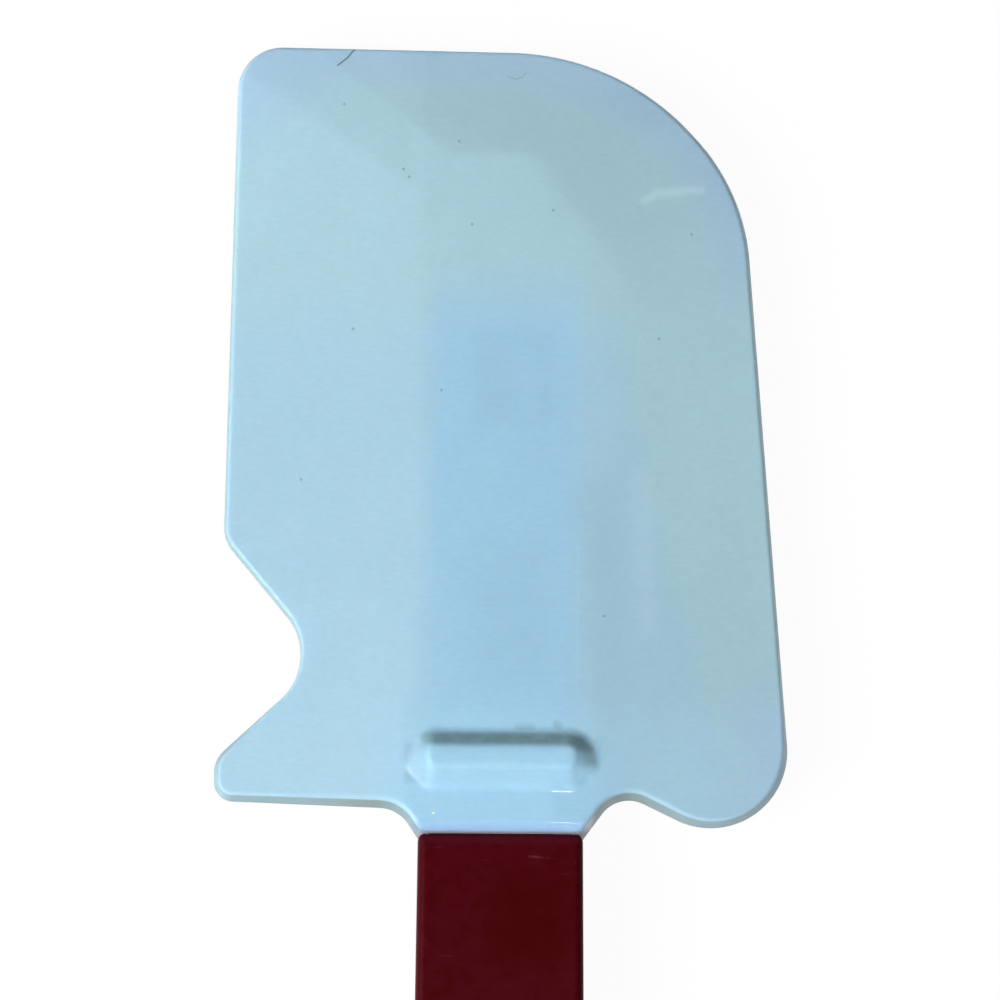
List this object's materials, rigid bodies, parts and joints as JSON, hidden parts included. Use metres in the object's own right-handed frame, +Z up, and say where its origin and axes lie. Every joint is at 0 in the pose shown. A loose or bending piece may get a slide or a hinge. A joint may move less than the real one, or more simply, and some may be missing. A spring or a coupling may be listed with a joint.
{
  "type": "silicone spatula",
  "caption": "Flat silicone scraper blade with a rim notch and a raised counter rest, moulded over the tang of a straight nylon handle with a hang hole.",
  "frame": {"origin": "middle of the flat of the lower rest boss, which the tool lies on", "axes": "+Y along the tool towards the blade's tip, +X across the blade with the rim notch on the -X side, +Z up through the thickness"},
  "size_m": [0.0696, 0.3429, 0.0143],
  "materials": {
    "silicone": "satin, slightly translucent",
    "nylon": "fine satin"
  },
  "bodies": {
    "root": {"blade": "silicone", "handle": "nylon"}
  },
  "joints": []
}
